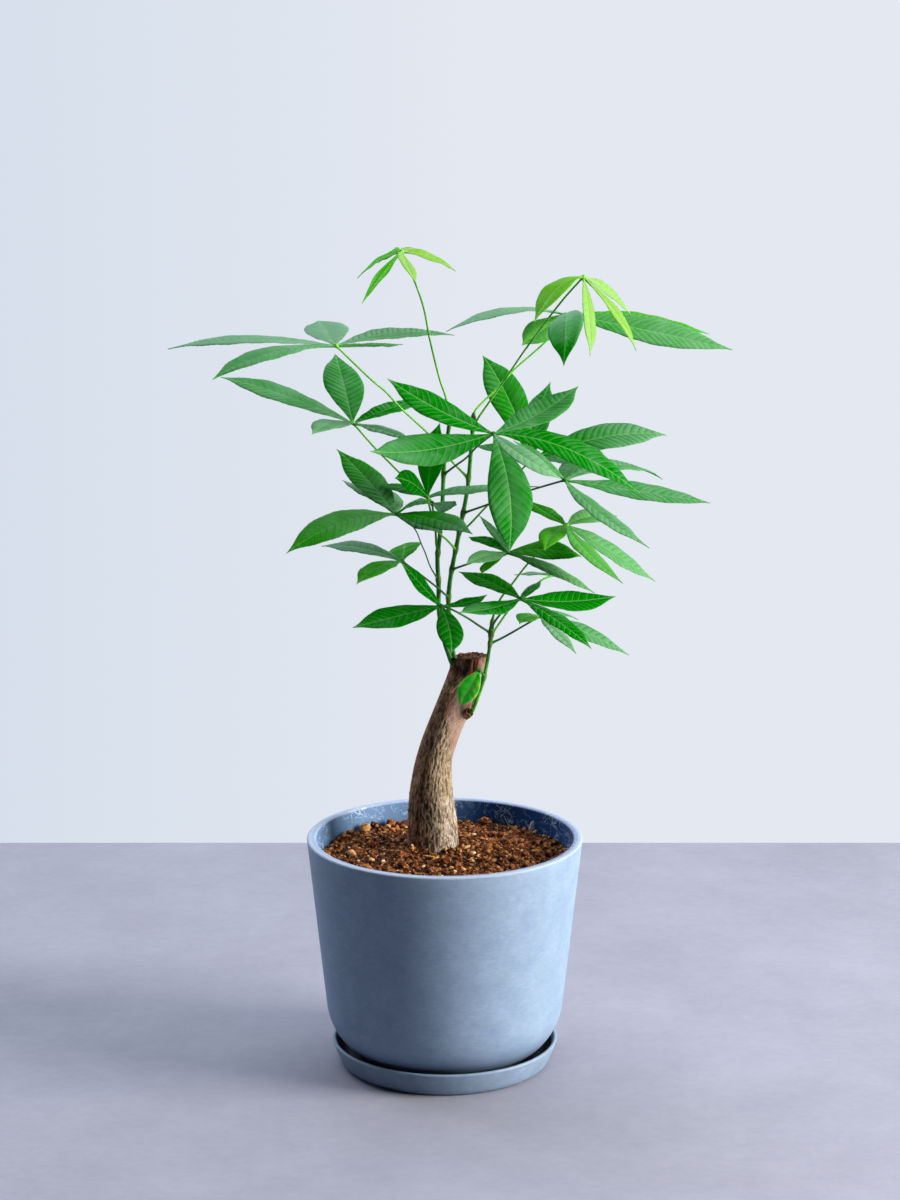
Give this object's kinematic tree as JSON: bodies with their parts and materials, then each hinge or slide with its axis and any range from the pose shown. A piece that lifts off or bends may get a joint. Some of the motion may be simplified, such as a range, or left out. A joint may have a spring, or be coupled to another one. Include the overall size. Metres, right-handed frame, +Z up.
{
  "type": "potted money tree",
  "caption": "Small money tree with a leaning woody trunk, green shoots and hand-shaped leaves, in soil in a round tapered pot that stands in a saucer.",
  "frame": {"origin": "centre of the saucer's flat underside, on the surface it stands on", "axes": "+Z up along the axis of the pot, -Y towards the viewer of the picture, +X to that viewer's right"},
  "size_m": [0.3963, 0.2104, 0.5996],
  "materials": {
    "pot": "matte",
    "saucer": "matte",
    "soil": "matte",
    "bark": "matte",
    "stem": "satin",
    "leaf": "satin",
    "young_leaf": "satin"
  },
  "bodies": {
    "root": {"saucer": "saucer", "pot": "pot", "soil": "soil", "trunk": "bark", "stem_left": "stem", "stem_right": "stem", "stem_low": "stem", "leaf_crown_left": "young_leaf", "leaf_upper_left": "leaf", "leaf_middle_left": "leaf", "leaf_inner_left": "leaf", "leaf_inner_small": "leaf", "leaf_centre": "leaf", "leaf_lower_left": "leaf", "leaf_right": "leaf", "leaf_top_right_back": "leaf", "leaf_top_right": "young_leaf", "leaf_behind_centre": "leaf", "leaf_lower_right": "leaf", "leaf_low_left_back": "leaf", "leaf_low_left": "leaf", "leaf_low_centre": "leaf", "leaf_low_front": "leaf", "leaf_low_back": "leaf", "leaf_small_back": "leaf", "leaf_on_trunk": "leaf"}
  },
  "joints": []
}
